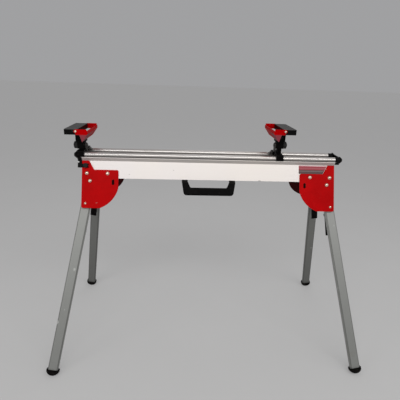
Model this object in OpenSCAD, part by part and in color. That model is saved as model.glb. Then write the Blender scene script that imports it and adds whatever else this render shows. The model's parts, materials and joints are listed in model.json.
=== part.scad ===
// Folding miter saw stand: a sloped aluminium beam with two round rails, four folding legs,
// two extension arms and two height adjustable work supports with flip-up stops.
// The stand faces -Y. Its origin is on the ground, under the middle of the beam.

/* [Beam] */
// Length of the beam, which is also the distance between the outer edges of the leg plates
beam_l = 1118; // [1060:2:1240]
// Half of the beam's width, across the lower edges of its sloped sides
beam_half_w = 74; // [73:0.5:80]
// Height of a sloped side, measured up the slope
side_h = 75.5; // [72:0.5:84]
// Lean of the sides, of the leg plates and of the legs
side_lean = 20.8; // [19.6:0.2:22]
// Wall of the sides, of the deck and of the web
beam_wall = 3; // [2.4:0.2:3.4]
// Height of the shoulder between the sloped side and the deck
shoulder_h = 18.5; // [16:0.5:24]
// Distance of the deck's rounded lips from the middle
lip_y = 58; // [57:0.5:61]
// Height of the web above the lower edge of the sides
web_over = 27; // [25:0.5:34]
// Place of the two ribs between web and deck, from the middle
rib_y = 21; // [14:1:26]

/* [Rails and extension arms] */
// Outer diameter of the rails
rail_d = 24; // [23:0.5:26]
// Wall of the rails
rail_wall = 2.7; // [2.2:0.1:3]
// Distance between the two rails
rail_spacing = 86; // [82:1:90]
// Height of the rails' centre above the deck
rail_rise = 7; // [6:0.5:8]
// Length of the left arm's tubes. The right arm's tubes take the rest of the rails' bores.
arm_tube_l = 565; // [470:5:640]
// Space between the tubes of both arms, in the middle of the bores
arm_space = 44; // [20:2:80]
// Wall of the arm tubes
arm_tube_wall = 2; // [1.5:0.25:3]
// Length of the end brackets along the rails
bracket_l = 32; // [31:1:40]
// Thickness of the end bracket's cross plate, and of its wall beyond the tubes
bracket_end_t = 5; // [4:0.5:7]
// Radius of the end bracket's two tapered caps
bracket_r = 15.5; // [15:0.5:18]
// Length of the tapered caps
bracket_cap_l = 10; // [8:0.5:10]
// Depth of the end bracket below the rails' centre
bracket_drop = 19; // [16:0.5:24]
// Thickness of the lock strap
strap_t = 3; // [2:0.5:4]
// Height of the lock strap's tongue
strap_h = 16; // [15:1:24]
// Distance of the arm lock knob below the top of the sloped side
lock_knob_low = 22; // [20:0.5:24]
// Diameter of the arm lock knob
lock_knob_d = 21; // [18:1:24]
// Height of the arm lock knob
lock_knob_h = 11; // [8:1:16]
// Diameter of the lock knob's stud
lock_stud_d = 8; // [6:1:10]

/* [Leg plates] */
// Thickness of the leg plates
plate_t = 3; // [2.5:0.5:4]
// Distance from the beam's end to the leg pivot
pivot_in = 34.4; // [32:0.2:40]
// Height of the beam side's lower edge over the leg pivot, up the slope
pivot_under = 12; // [10:0.5:16]
// Radius of the plate's lower inner corner, about the leg pivot
plate_arc_r = 127; // [120:1:134]
// Distance from the pivot to the plate's inner edge
plate_in = 123; // [112:1:126]
// Distance from the pivot down to the plate's lower edge
plate_down = 119; // [110:0.2:122]
// Height of the plate's low inner part above the pivot
plate_low_up = 48.5; // [44:0.5:58]
// Rounding of the plate's corners
plate_corner_r = 8; // [5:1:12]
// Radius from the pivot to the stop bolt and to the storage slot
lock_r = 100; // [94:1:104]
// Width of the storage slot
slot_w = 11.5; // [11:0.5:14]
// Height of the storage slot
slot_h = 24; // [22:1:30]
// Height of the leg pivot above the middle of the storage slot
slot_drop = 5; // [0:1:8]

/* [Fasteners] */
// Diameter of the plate bolts' shanks
bolt_d = 8; // [6:1:10]
// Diameter of the plate bolts' domed heads
bolt_head_d = 18; // [15:0.5:20]
// Diameter of the leg pivot bolts
pivot_d = 12; // [10:1:14]
// Diameter of the pivot bolts' domed heads
pivot_head_d = 18; // [17:0.5:22]
// Diameter of the stop bolts' domed heads
stop_head_d = 12; // [10:0.5:14]

/* [Legs] */
// Distance from the leg pivot to the centre of the foot's dome
leg_reach = 829; // [730:2:870]
// Width of the leg tube
leg_w = 43; // [38:1:44]
// Thickness of the leg tube
leg_t = 22; // [20:1:23]
// Wall of the leg tube
leg_wall = 2; // [1.6:0.2:2.6]
// Corner radius of the leg tube
leg_corner_r = 7; // [4:0.5:8]
// Outward splay of the legs along the beam
leg_splay = 10; // [8:0.5:12]
// Depth of the leg's centre plane behind the outer face of the leg plate
leg_depth = 21.5; // [21:0.5:23]
// Toe-in of the left legs, so that they fold behind the right ones
skew_in = 2.8; // [2.6:0.1:3]
// Toe-out of the right legs, so that they fold in front of the left ones
skew_out = 0.8; // [0.7:0.1:0.9]
// Radius of the foot's domed end
foot_dome = 30; // [29:1:36]
// Rubber wall round the leg tube
foot_wall = 5.5; // [4:0.5:6]
// Height of the foot
foot_h = 26; // [22:1:50]
// Rubber under the end of the leg tube
foot_seat = 12; // [10:1:14]

/* [Leg locks] */
// Diameter of the lock pin
lock_pin_d = 9; // [7:0.5:10]
// Distance from the lock pin to the lever's hinge
lever_arm = 35; // [30:1:40]
// Length of the lever below its hinge
lever_l = 100; // [80:1:102]
// Width of the lever
lever_w = 28; // [24:1:32]
// Thickness of the lever
lever_t = 9; // [7:0.5:10]
// Angle of the lever's grip away from the leg, which is also its squeeze
lever_rest = 14; // [12:0.5:15]
// Diameter of the lever's hinge pin
lever_pin_d = 6; // [5:0.5:7]

/* [Carry handle] */
// Place of the handle's middle along the beam
handle_x = -7; // [-40:1:40]
// Length of the handle at its upper ends
handle_top_l = 236; // [200:2:280]
// Length of the handle at its grip
handle_grip_l = 216; // [180:2:230]
// Distance of the grip's lower edge below the beam's side, down the slope
handle_drop = 69; // [62:1:76]
// Height of the grip
handle_grip_h = 35; // [26:1:38]
// Thickness of the grip
handle_grip_t = 16; // [14:1:20]
// Width of the handle's arms
handle_arm_w = 26; // [20:1:30]
// Radius of the handle's lower corners
handle_corner_r = 14; // [8:1:16]

/* [Work supports] */
// Place of the right support on the rails, from the middle
right_support_x = 312; // [100:2:420]
// Distance of the left support's middle beyond the beam's end
left_support_out = 9.5; // [8.7:0.1:9.8]
// Length of the saddle along the rails
saddle_l = 30; // [28:1:32]
// Distance of the saddle's middle inward of the post's middle
saddle_in = 6; // [5:0.5:7]
// How far the saddle's feet reach outward beyond it
saddle_flare = 3; // [1:0.5:3.5]
// Thickness of the saddle above the rails
saddle_over = 8; // [6:0.5:12]
// Thickness of the saddle's jaws outside the rails
jaw_t = 6; // [5:0.5:8]
// Depth of the jaws below the rails' centre
jaw_drop = 5; // [3:0.5:5]
// Width of the inner post along the rails
post_w = 18; // [14:1:20]
// Depth of the inner post across the rails
post_depth = 27; // [22:1:32]
// Height of the inner post above the saddle
post_h = 66; // [50:1:70]
// Wall of the sleeve
sleeve_wall = 6.5; // [5:0.5:7]
// Height of the sleeve
sleeve_h = 73; // [68:1:84]
// Width of the sleeve's head, above the height knob
sleeve_head_w = 43; // [38:1:44]
// Lift of the left rest above its lowest place
left_lift = 0; // [0:1:20]
// Lift of the right rest above its lowest place
right_lift = 20; // [0:1:30]
// Length of the rest plate, across the beam
rest_l = 184; // [160:2:200]
// Width of the rest plate, along the beam
rest_w = 53; // [48:1:58]
// Thickness of the rest plate
rest_t = 22; // [20:1:26]
// Wall of the hollow rest plate
rest_wall = 3.5; // [3:0.5:5]
// Distance of the rest plate's inner edge beyond the post's middle
rest_in = 8; // [7:1:12]
// Sheet thickness of the flip-up stop
stop_t = 3; // [2:0.5:3.5]
// Length of the stop's arms from their hinge
stop_arm_l = 48; // [47:1:52]
// Height of the stop's arms
stop_arm_h = 23; // [20:1:26]
// Height of the stop's lip, above the fold of its web
stop_lip = 11.5; // [8:0.5:18]
// Length of the stop's slanted web
stop_web_l = 52; // [44:1:53]
// Angle that the stop turns through, until its web stands upright
stop_swing = 35; // [30:1:37]
// Diameter of the height knob
height_knob_d = 31; // [26:1:33]
// Length of the height knob along its axis
height_knob_h = 15; // [12:1:20]
// Length that the inner nut's grip hangs down from the height knob's axis
nut_grip_l = 31; // [24:1:32]
// Length of the clamp lever
clamp_lever_l = 8; // [6:1:14]
// Width of the clamp lever
clamp_lever_w = 14; // [12:1:16]
// Distance of the clamp lever behind the middle of the saddle
clamp_y = 22; // [21:0.5:22.5]

/* [Hidden] */

$fn = 48;
eps = 0.01;
left = -1;
right = 1;
front = -1;
rear = 1;

// Clearances
gap = 0.3;
run_gap = 0.05;
hole_gap = 0.4;
stack_gap = 0.6;

// Heights and half widths that follow from the legs and the slope
lean_s = sin(side_lean);
lean_c = cos(side_lean);
pivot_z = leg_reach * cos(leg_splay) * lean_c + foot_dome + leg_depth * lean_s;
pivot_y = beam_half_w + pivot_under * lean_s + plate_t * lean_c;
pivot_x = beam_l / 2 - pivot_in;
side_z = pivot_z + pivot_under * lean_c - plate_t * lean_s;
side_top_z = side_z + side_h * lean_c;
side_top_y = beam_half_w - side_h * lean_s;
side_top_v = pivot_under + side_h;
deck_z = side_top_z + shoulder_h;
rail_z = deck_z + rail_rise;
rail_y = rail_spacing / 2;
rail_r = rail_d / 2;
web_z = side_z + web_over;
wall_y = beam_wall / lean_c;
lip_r = beam_wall / 2;

// Arms
bore_d = rail_d - 2 * rail_wall;
arm_tube_d = bore_d - 2 * gap;
tube_seat = bracket_l - bracket_end_t - gap;
bracket_x = beam_l / 2 + gap;
right_tube_l = 2 * (bracket_x + tube_seat) - arm_space - arm_tube_l;
bracket_bottom = rail_z - bracket_drop;
lock_knob_x = 17;
lock_knob_v = side_top_v - lock_knob_low;
strap_low_v = lock_knob_v - strap_h / 2;

// Supports
sleeve_w = post_w + 2 * gap + 2 * sleeve_wall;
sleeve_depth = post_depth + 2 * gap + 2 * sleeve_wall;
saddle_top = rail_z + rail_r + saddle_over;
sleeve_foot = saddle_top + 1;
knob_up = 13;
sleeve_neck_h = knob_up + height_knob_d / 2 + 2.5;
rest_out = rest_w - rest_in;
stop_hinge_x = rest_in - 5;
stop_hinge_up = sleeve_h + rest_t - 8;
stop_pin_d = 6;
stop_screw_head_d = 11;
stop_slant_l = stop_web_l - (stop_arm_h + stop_t) / 2;
stop_fold = [stop_arm_l - stop_t, 2 - stop_arm_h / 2];
stop_toe = stop_fold - stop_slant_l * [sin(stop_swing), cos(stop_swing)];
clamp_pin_d = 6;
clamp_drum_r = 5.5;
clamp_lever_t = 3.5;
clamp_x = saddle_in + saddle_l / 2 + clamp_drum_r + 1;
clamp_z = saddle_top - 5;
nut_notch_w = 21;

// Leg locks
lever_hinge_y = -(lock_r + lever_arm);
lever_hinge_z = -(leg_t / 2 + 9);
ear_t = 2.5;
ear_gap = 0.4;
spring_l = 10;
stop_shank_in = leg_depth - leg_t / 2 + leg_wall + 3;

function toe(side) = side == left ? skew_in : -skew_out;

// Puts what is drawn for the front left corner, in the plane of its plate, on any corner.
// Local x runs inward along the beam, y up the slope and z out of the plate's outer face.
module on_slope(side, face) {
    mirror([side == right ? 1 : 0, 0, 0])
        mirror([0, face == rear ? 1 : 0, 0])
            translate([-pivot_x, -pivot_y, pivot_z])
                rotate([90 - side_lean, 0, 0])
                    children();
}

// The leg's own frame: it hangs down local -y from its pivot, and z is its hinge axis
module on_leg(side, face) {
    on_slope(side, face)
        translate([0, 0, -leg_depth])
            rotate([0, 0, -leg_splay])
                rotate([0, toe(side), 0])
                    children();
}

// Extrudes a section drawn across the beam, with y to the right and z up, along the beam
module along_beam(length) {
    rotate([90, 0, 90]) linear_extrude(length, center = true) children();
}

module rounded_rect(w, h, r) {
    translate([-w / 2 + r, -h / 2]) square([w - 2 * r, h]);
    translate([-w / 2, -h / 2 + r]) square([w, h - 2 * r]);
    for (x = [-1, 1], y = [-1, 1])
        translate([x * (w / 2 - r), y * (h / 2 - r)]) circle(r);
}

module slot_shape(w, h) {
    square([w, h - w], center = true);
    for (y = [-1, 1]) translate([0, y * (h - w) / 2]) circle(d = w);
}

// A domed head on z = 0
module dome(d, h) {
    ball_r = (d * d / 4 + h * h) / (2 * h);
    intersection() {
        translate([0, 0, h - ball_r]) sphere(ball_r);
        cylinder(d = d, h = h);
    }
}

// Beam. Half of its outline, from the middle of the deck round the outside and back inside.
half_outline = [
    [0, deck_z],
    [-lip_y + lip_r, deck_z],
    [-lip_y, deck_z - lip_r],
    [-lip_y + lip_r, deck_z - beam_wall],
    [-side_top_y, side_top_z],
    [-beam_half_w, side_z],
    [-beam_half_w + wall_y, side_z],
    [-side_top_y + wall_y, side_top_z],
    [-side_top_y + wall_y + 1, deck_z - beam_wall],
    [0, deck_z - beam_wall]
];
half_points = len(half_outline);

module beam_section() {
    mid = [for (i = [half_points - 2:-1:1]) [-half_outline[i][0], half_outline[i][1]]];
    web_y = beam_half_w - web_over * lean_s / lean_c - wall_y / 2;
    difference() {
        union() {
            polygon(concat(half_outline, mid));
            translate([-web_y, web_z]) square([2 * web_y, beam_wall]);
            for (y = [-rail_y, rail_y]) translate([y, rail_z]) circle(rail_r);
            for (y = [-1, 1]) {
                translate([y * rib_y - beam_wall / 2, web_z + 1]) square([beam_wall, deck_z - web_z - 2]);
                translate([y * (lip_y - lip_r), deck_z - lip_r]) circle(lip_r);
            }
        }
        for (y = [-rail_y, rail_y]) translate([y, rail_z]) circle(d = bore_d);
    }
}

module beam() {
    color("gainsboro")
        difference() {
            along_beam(beam_l) beam_section();
            for (side = [left, right], face = [front, rear])
                on_slope(side, face)
                    for (p = plate_bolt_places) translate([p[0], p[1], -plate_t - 8])
                        cylinder(d = bolt_d + hole_gap, h = 16);
            lock_knob_place(left) stud_hole();
            lock_knob_place(right) stud_hole();
            handle_screw_places() translate([0, 0, -12])
                cylinder(d = handle_screw_d + hole_gap, h = 12 - handle_screw_skin);
        }
}

// Leg plates
plate_bolt_places = [[-13.4, 33], [75.6, 33]];
ear_top_in = -4.3;
ear_foot_in = 17.5;
stop_angle = leg_splay;

// What a rounding of radius r takes away from a square corner at the origin
module corner_waste(r) {
    difference() {
        translate([-1, -1]) square(r + 1);
        translate([r, r]) circle(r);
    }
}

module plate_outline() {
    out = -pivot_in;
    difference() {
        intersection() {
            polygon([
                [out, side_top_v],
                [ear_top_in, side_top_v],
                [ear_foot_in, plate_low_up],
                [plate_in, plate_low_up],
                [plate_in, -plate_down],
                [out, -plate_down]
            ]);
            union() {
                circle(plate_arc_r, $fn = 96);
                translate([out - 1, 0]) square([plate_in - out + 2, side_top_v + 1]);
            }
        }
        translate([out, -plate_down]) corner_waste(plate_corner_r);
        translate([plate_in, plate_low_up]) rotate(180) corner_waste(plate_corner_r);
    }
}

module leg_plate(side, face) {
    color("crimson")
        difference() {
            on_slope(side, face) translate([0, 0, -plate_t]) linear_extrude(plate_t)
                difference() {
                    plate_outline();
                    for (p = plate_bolt_places) translate(p) circle(d = bolt_d + hole_gap);
                    rotate(-stop_angle) translate([0, -lock_r]) circle(d = bolt_d + hole_gap);
                    translate([lock_r, -slot_drop]) slot_shape(slot_w, slot_h);
                }
            on_leg(side, face) translate([0, 0, leg_depth - 12])
                cylinder(d = pivot_d + 2 * hole_gap, h = 24);
            lock_knob_place(left) stud_hole();
            lock_knob_place(right) stud_hole();
        }
}

// Fasteners of the plates
nut_h = 6;
pivot_nut_d = 20;
nut_gap = stack_gap + pivot_nut_d / 2 * sin(skew_in);

module plate_bolts() {
    nut_base = -plate_t - beam_wall - nut_h;
    color("wheat")
        for (side = [left, right], face = [front, rear])
            on_slope(side, face)
                for (p = plate_bolt_places) translate([p[0], p[1], 0]) {
                    dome(bolt_head_d, 6);
                    translate([0, 0, nut_base - 2]) cylinder(d = bolt_d, h = 3 - nut_base);
                    translate([0, 0, nut_base]) cylinder(d = 15, h = nut_h, $fn = 6);
                }
    stop_bolts();
}

module pivot_bolts() {
    inner_face = -(leg_t / 2 + bracket_gap + bracket_sheet);
    outer_face = leg_depth + stack_gap;
    color("wheat")
        for (side = [left, right], face = [front, rear])
            on_leg(side, face) {
                translate([0, 0, outer_face]) dome(pivot_head_d, 6.5);
                translate([0, 0, inner_face - nut_gap - nut_h - 2])
                    cylinder(d = pivot_d, h = outer_face + nut_gap + nut_h + 3 - inner_face);
                translate([0, 0, inner_face - nut_gap - nut_h])
                    cylinder(d = pivot_nut_d, h = nut_h, $fn = 6);
                translate([0, 0, leg_t / 2 + gap])
                    difference() {
                        cylinder(d = 19, h = leg_depth - leg_t / 2 - plate_t - stack_gap - gap);
                        translate([0, 0, -eps]) cylinder(d = pivot_d + 2 * run_gap, h = leg_depth);
                    }
            }
}

module stop_bolts() {
    color("wheat")
        for (side = [left, right], face = [front, rear])
            on_slope(side, face) rotate(-stop_angle) translate([0, -lock_r, 0])
                difference() {
                    union() {
                        dome(stop_head_d, 4.5);
                        translate([0, 0, -stop_shank_in]) cylinder(d = bolt_d, h = stop_shank_in + 1);
                        translate([0, 0, -plate_t - 4]) cylinder(d = 14, h = 4);
                    }
                    translate([0, 0, -stop_shank_in - eps]) cylinder(d = 4, h = 3);
                }
}

// Inner brackets: a folded steel saddle under the web carries the inner ends of the leg pivots
bracket_sheet = 3;
bracket_gap = 3;
leg_bracket_l = 56;
leg_bracket_down = 24;

module leg_bracket(side) {
    face_in = leg_depth + leg_t / 2 + bracket_gap;
    y_at_pivot = pivot_y - face_in * lean_c;
    z_at_pivot = pivot_z - face_in * lean_s;
    down_y = y_at_pivot + leg_bracket_down * lean_s;
    down_z = z_at_pivot - leg_bracket_down * lean_c;
    up = (web_z - z_at_pivot) / lean_c;
    up_y = y_at_pivot - up * lean_s;
    sheet_y = bracket_sheet / lean_c;
    color("dimgray")
        difference() {
            translate([side * pivot_x, 0, 0])
                along_beam(leg_bracket_l)
                    difference() {
                        polygon([
                            [-down_y, down_z], [-up_y, web_z], [up_y, web_z], [down_y, down_z]
                        ]);
                        polygon([
                            [-down_y + sheet_y, down_z - eps],
                            [-up_y + sheet_y, web_z - bracket_sheet],
                            [up_y - sheet_y, web_z - bracket_sheet],
                            [down_y - sheet_y, down_z - eps]
                        ]);
                    }
            for (face = [front, rear])
                on_leg(side, face) translate([0, 0, -leg_t / 2 - 20])
                    cylinder(d = pivot_d + 2 * hole_gap, h = 20);
        }
}

module leg_brackets() {
    for (side = [left, right]) leg_bracket(side);
}

// Legs
leg_end_y = foot_seat - leg_reach - foot_dome;

module leg_section(inset) {
    rounded_rect(leg_w - 2 * inset, leg_t - 2 * inset, leg_corner_r - inset);
}

module leg_tube(side, face) {
    top = leg_w / 2;
    color("silver")
        on_leg(side, face)
            difference() {
                intersection() {
                    translate([0, leg_end_y, 0]) rotate([-90, 0, 0])
                        linear_extrude(top - leg_end_y)
                            difference() {
                                leg_section(0);
                                leg_section(leg_wall);
                            }
                    union() {
                        cylinder(r = top, h = leg_t + 2, center = true, $fn = 96);
                        translate([-leg_w, leg_end_y - 1, -leg_t])
                            cube([2 * leg_w, 1 - leg_end_y, 2 * leg_t]);
                    }
                }
                cylinder(d = pivot_d + 2 * run_gap, h = leg_t + 2, center = true);
                translate([0, -lock_r, -leg_t]) cylinder(d = lock_pin_d + 2 * run_gap, h = leg_t);
                stop_slot();
            }
}

// The open slot in the outer wall, which the stop bolt enters as the leg swings out
module stop_slot() {
    half_w = bolt_d / 2 + gap;
    translate([0, -lock_r, leg_t / 2 - leg_wall - 5]) cylinder(r = half_w, h = leg_wall + 6);
    intersection() {
        translate([0, 0, leg_t / 2 - leg_wall - 5])
            rotate_extrude($fn = 96)
                translate([lock_r - half_w, 0]) square([2 * half_w, leg_wall + 6]);
        translate([-leg_w, -2 * lock_r, 0]) cube([leg_w, 2 * lock_r, leg_t]);
    }
}

module foot(side, face) {
    color("black")
        on_leg(side, face)
            difference() {
                intersection() {
                    translate([0, -leg_reach - foot_dome, 0]) rotate([-90, 0, 0])
                        linear_extrude(foot_h) leg_section(-foot_wall);
                    translate([0, -leg_reach, 0]) {
                        sphere(foot_dome, $fn = 96);
                        rotate([-90, 0, 0]) cylinder(r = foot_dome, h = foot_dome);
                    }
                }
                translate([0, leg_end_y, 0]) rotate([-90, 0, 0])
                    linear_extrude(foot_h) leg_section(0);
            }
}

// Leg locks: squeezing the lever towards the leg draws the lock pin in
module lever_profile() {
    t = lever_t;
    z = lever_hinge_z;
    y = lever_hinge_y;
    up = lever_arm + 9;
    grip = lever_l - t / 2;
    hull() {
        translate([y, z]) circle(d = t);
        translate([y + up - t / 2, z]) circle(d = t);
    }
    hull() {
        translate([y, z]) circle(d = t);
        translate([y - grip * cos(lever_rest), z - grip * sin(lever_rest)]) circle(d = t);
    }
    translate([y, z]) circle(d = t + 3);
}

// Turns a profile drawn with leg y to the right and leg z up into a solid across the leg
module across_leg(w) {
    rotate([90, 0, 90]) linear_extrude(w, center = true) children();
}

module lock_lever(side, face) {
    color("black")
        on_leg(side, face)
            difference() {
                across_leg(lever_w) lever_profile();
                translate([0, lever_hinge_y, lever_hinge_z]) rotate([0, 90, 0])
                    cylinder(d = lever_pin_d + 2 * run_gap, h = lever_w + 2, center = true);
                translate([0, lever_hinge_y, lever_hinge_z]) rotate([0, 90, 0])
                    cylinder(d = lever_t + 4, h = spring_l + 2 * gap, center = true);
                translate([0, -lock_r, lever_hinge_z]) {
                    cylinder(d = lock_pin_d + 2.4, h = 3 * lever_t, center = true);
                    translate([-lock_pin_d / 2 - 1.2, 0, -lever_t])
                        cube([lock_pin_d + 2.4, 20, 2 * lever_t]);
                }
            }
}

// The closed coils of the spring that swings the lever back
module lever_spring(side, face) {
    color("silver")
        on_leg(side, face)
            translate([0, lever_hinge_y, lever_hinge_z]) rotate([0, 90, 0])
                difference() {
                    cylinder(d = lever_t, h = spring_l, center = true);
                    cylinder(d = lever_pin_d + 2 * run_gap, h = spring_l + 2, center = true);
                }
}

module lever_bracket(side, face) {
    x = lever_w / 2 + ear_gap;
    wall_z = -leg_t / 2;
    ear_r = 7;
    color("dimgray")
        on_leg(side, face) {
            for (s = [-1, 1])
                translate([s * (x + ear_t / 2), 0, 0])
                    across_leg(ear_t) {
                        translate([lever_hinge_y, lever_hinge_z]) circle(ear_r);
                        translate([lever_hinge_y - ear_r, lever_hinge_z])
                            square([2 * ear_r, wall_z - lever_hinge_z]);
                    }
            translate([-x - ear_t, lever_hinge_y - ear_r, wall_z - 1.5])
                cube([2 * (x + ear_t), 2 * ear_r, 1.5]);
            translate([0, lever_hinge_y, lever_hinge_z]) rotate([0, 90, 0])
                cylinder(d = lever_pin_d, h = 2 * (x + ear_t) + 2, center = true);
        }
}

module lock_pin(side, face) {
    nose_z = leg_depth - stop_shank_in - gap;
    neck_z = lever_hinge_z - lever_t / 2 - gap;
    color("silver")
        on_leg(side, face) translate([0, -lock_r, 0]) {
            translate([0, 0, neck_z - 1]) cylinder(d = lock_pin_d, h = nose_z - neck_z - 1);
            translate([0, 0, nose_z - 2 - eps])
                cylinder(d1 = lock_pin_d, d2 = lock_pin_d - 4, h = 2 + eps);
            translate([0, 0, neck_z - 3]) cylinder(d = lock_pin_d + 8, h = 3);
        }
}

// Carry handle
handle_screw_d = 5;
handle_screw_skin = 0.8;
handle_tab_h = 26;
handle_tab_t = 4;
handle_grip_z = plate_t + 0.6;
handle_mid = handle_grip_h / 2 - handle_drop;

// The slope frame of the front side, in the middle of the handle, with its origin on the outer
// face of the side at its lower edge
module on_front_side() {
    translate([handle_x, -beam_half_w, side_z]) rotate([90 - side_lean, 0, 0]) children();
}

module handle_screw_places() {
    on_front_side()
        for (s = [-1, 1])
            translate([s * (handle_top_l - handle_arm_w) / 2, handle_tab_h - 9, 0]) children();
}

// An arm of the handle, seen along the beam: up the slope to the right, outward up
module handle_arm_profile() {
    behind = -beam_wall - gap;
    low = handle_grip_z + 0.5;
    high = handle_grip_z + handle_grip_t - 0.5;
    polygon([
        [handle_tab_h, behind],
        [handle_tab_h, behind - handle_tab_t],
        [-4, behind - handle_tab_t],
        [-18, low],
        [handle_mid, low],
        [handle_mid, high],
        [-14, high],
        [-1, behind + 3],
        [-1, behind]
    ]);
}

// The handle seen square on: a tapered plate with round lower corners and an opening
module handle_outline() {
    shoulder = 8;
    top = handle_top_l / 2;
    flare = atan2(top - handle_grip_l / 2, handle_drop - shoulder);
    centre_x = handle_grip_l / 2 - handle_corner_r * (1 - sin(flare)) / cos(flare);
    centre_y = handle_corner_r - handle_drop;
    side_x = centre_x + handle_corner_r * cos(flare);
    side_y = centre_y - handle_corner_r * sin(flare);
    inner_top = top - handle_arm_w;
    inner_low = handle_grip_l / 2 - handle_arm_w;
    inner_y = handle_grip_h - handle_drop - 1;
    difference() {
        union() {
            polygon([
                [-top, handle_tab_h + 1], [-top, -shoulder], [-side_x, side_y], [-centre_x, -handle_drop],
                [centre_x, -handle_drop], [side_x, side_y], [top, -shoulder], [top, handle_tab_h + 1]
            ]);
            for (s = [-1, 1]) translate([s * centre_x, centre_y]) circle(handle_corner_r);
        }
        polygon([
            [-inner_top, handle_tab_h + 2], [-inner_top, -shoulder], [-inner_low, inner_y + 4],
            [4 - inner_low, inner_y], [inner_low - 4, inner_y],
            [inner_low, inner_y + 4], [inner_top, -shoulder], [inner_top, handle_tab_h + 2]
        ]);
    }
}

module carry_handle() {
    color("black")
        difference() {
            on_front_side()
                intersection() {
                    union() {
                        across_leg(handle_top_l + 2) handle_arm_profile();
                        translate([0, handle_mid, handle_grip_z + handle_grip_t / 2])
                            rotate([90, 0, 90]) linear_extrude(handle_top_l + 2, center = true)
                                rounded_rect(handle_grip_h, handle_grip_t, 6);
                    }
                    linear_extrude(2 * handle_drop, center = true) handle_outline();
                }
            handle_screw_places() translate([0, 0, -12])
                cylinder(d = handle_screw_d + hole_gap, h = 24);
        }
}

// The screws go in from inside the channel, and end in the wall without coming through it
module handle_screws() {
    seat = -beam_wall - gap - handle_tab_t;
    color("silver")
        handle_screw_places() {
            translate([0, 0, seat]) rotate([180, 0, 0]) dome(10, 2.6);
            translate([0, 0, seat - 1])
                cylinder(d = handle_screw_d, h = 1 - seat - handle_screw_skin - gap);
        }
}

// Extension arms. What is drawn for the left arm is turned half round for the right one.
module on_arm(side) {
    rotate([0, 0, side == left ? 0 : 180]) children();
}

module arm_tubes(side) {
    length = side == left ? arm_tube_l : right_tube_l;
    color("silver")
        on_arm(side)
            for (y = [-rail_y, rail_y])
                translate([-bracket_x - tube_seat, y, rail_z]) rotate([0, 90, 0])
                    difference() {
                        cylinder(d = arm_tube_d, h = length);
                        translate([0, 0, -1])
                            cylinder(d = arm_tube_d - 2 * arm_tube_wall, h = length + 2);
                    }
}

lug_out = 18;
lug_l = 16;

module end_bracket(side) {
    collar_l = bracket_l - bracket_cap_l;
    plate_half_h = 10;
    color("black")
        on_arm(side)
            difference() {
                union() {
                    for (y = [-rail_y, rail_y])
                        translate([-bracket_x, y, rail_z]) rotate([0, -90, 0]) {
                            cylinder(r = rail_r, h = collar_l + eps);
                            translate([0, 0, collar_l])
                                cylinder(r1 = bracket_r, r2 = bracket_r / 2, h = bracket_cap_l);
                        }
                    translate([-bracket_x - collar_l - bracket_end_t / 2, 0, 0])
                        along_beam(bracket_end_t)
                            translate([-rail_y, rail_z - plate_half_h])
                                square([2 * rail_y, 2 * plate_half_h]);
                    // The cross bar under the collars, and the lug that carries the lock strap
                    translate([-bracket_x - lug_out + lug_l / 2, 0, 0]) along_beam(lug_l)
                        translate([-rail_y - rail_r, bracket_bottom])
                            square([2 * (rail_y + rail_r), rail_z - jaw_drop - 1 - bracket_bottom]);
                    on_slope(left, front) translate([-pivot_in - gap - lug_out, strap_low_v, -14])
                        cube([lug_l, side_top_v - strap_low_v + 8, 14]);
                }
                for (y = [-rail_y, rail_y])
                    translate([-bracket_x - tube_seat, y, rail_z]) rotate([0, 90, 0])
                        cylinder(d = arm_tube_d + 2 * run_gap, h = tube_seat + 1);
                strap_screw_place() translate([0, 0, -16]) cylinder(d = 5, h = 20);
            }
}

module strap_screw_place() {
    on_slope(left, front) translate([-pivot_in - gap - 14, side_top_v - 7, 0]) children();
}

module lock_knob_place(side) {
    on_arm(side) on_slope(left, front) translate([-lock_knob_x, lock_knob_v, 0]) children();
}

module stud_hole() {
    translate([0, 0, -14]) cylinder(d = lock_stud_d + 2 * hole_gap, h = 28);
}

// The strap runs from the end bracket to the knob, and its slot is open towards the middle
module lock_strap(side) {
    outer = -pivot_in - gap - lug_out + 1;
    inner = -lock_knob_x + lock_knob_d / 2 + 2;
    slot = lock_stud_d + 1.5;
    color("black")
        on_arm(side)
            difference() {
                on_slope(left, front) translate([0, 0, gap])
                    linear_extrude(strap_t)
                        difference() {
                            polygon([
                                [outer, side_top_v],
                                [-pivot_in - 4, side_top_v],
                                [-pivot_in, lock_knob_v + strap_h / 2],
                                [inner, lock_knob_v + strap_h / 2],
                                [inner, strap_low_v],
                                [outer + 4, strap_low_v],
                                [outer, strap_low_v + 5]
                            ]);
                            translate([-lock_knob_x, lock_knob_v]) circle(d = slot);
                            translate([-lock_knob_x, lock_knob_v - slot / 2]) square([40, slot]);
                        }
                strap_screw_place() translate([0, 0, -1]) cylinder(d = 5, h = 20);
            }
}

module strap_screw(side) {
    color("white")
        on_arm(side) strap_screw_place() {
            translate([0, 0, gap + strap_t]) dome(9, 3);
            translate([0, 0, -13]) cylinder(d = 4.9, h = 14 + strap_t);
        }
}

module lock_knob(side) {
    base = gap + strap_t + gap;
    color("black")
        lock_knob_place(side)
            difference() {
                union() {
                    translate([0, 0, base]) cylinder(d = lock_knob_d, h = lock_knob_h);
                    translate([0, 0, -plate_t - beam_wall - 3])
                        cylinder(d = lock_stud_d, h = base + 10);
                }
                for (a = [0:45:315]) rotate(a) translate([lock_knob_d / 2 + 1, 0, base - 1])
                    cylinder(r = 2.6, h = lock_knob_h + 2, $fn = 24);
            }
}

// Work supports. What is drawn for the left one, with x inward, is mirrored for the right one.
module on_support(side) {
    if (side == left)
        translate([-beam_l / 2 - left_support_out, 0, 0]) children();
    else
        translate([right_support_x, 0, 0]) mirror([1, 0, 0]) children();
}

module on_rest(side) {
    on_support(side)
        translate([0, 0, sleeve_foot + (side == left ? left_lift : right_lift)])
            children();
}

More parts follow.
